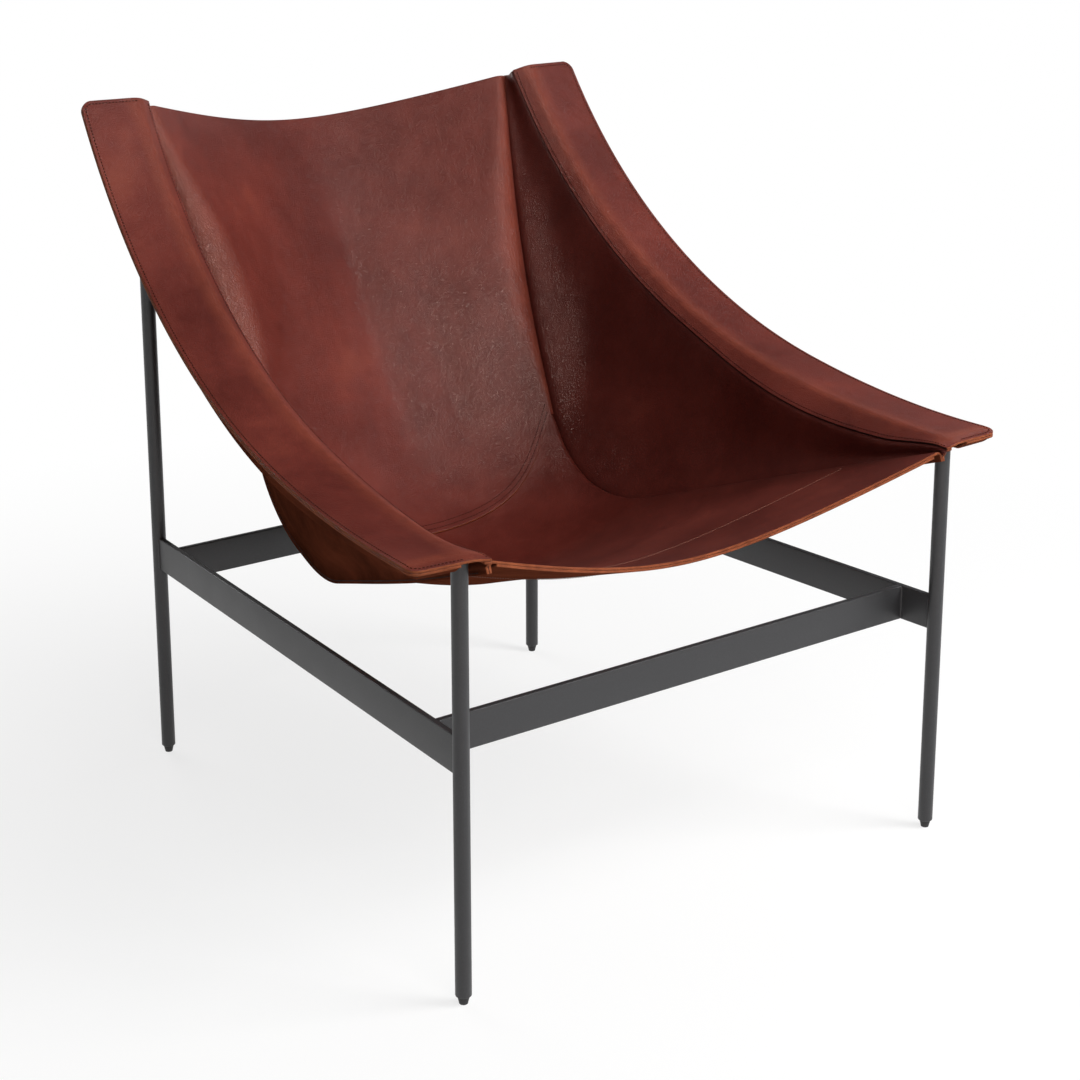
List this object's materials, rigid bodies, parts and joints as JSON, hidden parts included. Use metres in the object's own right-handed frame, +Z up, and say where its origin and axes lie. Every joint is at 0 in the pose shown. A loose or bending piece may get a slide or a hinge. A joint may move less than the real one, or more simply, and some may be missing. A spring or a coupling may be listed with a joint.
{
  "type": "sling lounge chair",
  "caption": "Low lounge chair: sewn leather sling with bucket seat and arm sleeves hooked over curved bars of a slim welded steel frame on rod legs.",
  "frame": {"origin": "on the floor, under the middle of the chair's bounding box", "axes": "+Z up, -Y is the way the chair faces, +X to the right of someone who faces its front"},
  "size_m": [0.747, 0.8198, 0.7813],
  "materials": {
    "frame": "fine matt powder coat, charcoal",
    "glides": "matt",
    "leather": "waxed full grain, oxblood, raw cut edges"
  },
  "bodies": {
    "root": {"leg_front_left": "frame", "leg_front_right": "frame", "leg_rear_left": "frame", "leg_rear_right": "frame", "side_rail_left": "frame", "side_rail_right": "frame", "front_rail": "frame", "rear_rail": "frame", "arm_bar_left": "frame", "arm_bar_right": "frame", "glide_front_left": "glides", "glide_front_right": "glides", "glide_rear_left": "glides", "glide_rear_right": "glides", "back_panel": "leather", "seat_panel": "leather", "seat_front_lining": "leather", "side_panel_left": "leather", "side_panel_right": "leather", "arm_sleeve_top_left": "leather", "arm_sleeve_top_right": "leather", "arm_sleeve_under_left": "leather", "arm_sleeve_under_right": "leather"}
  },
  "joints": []
}
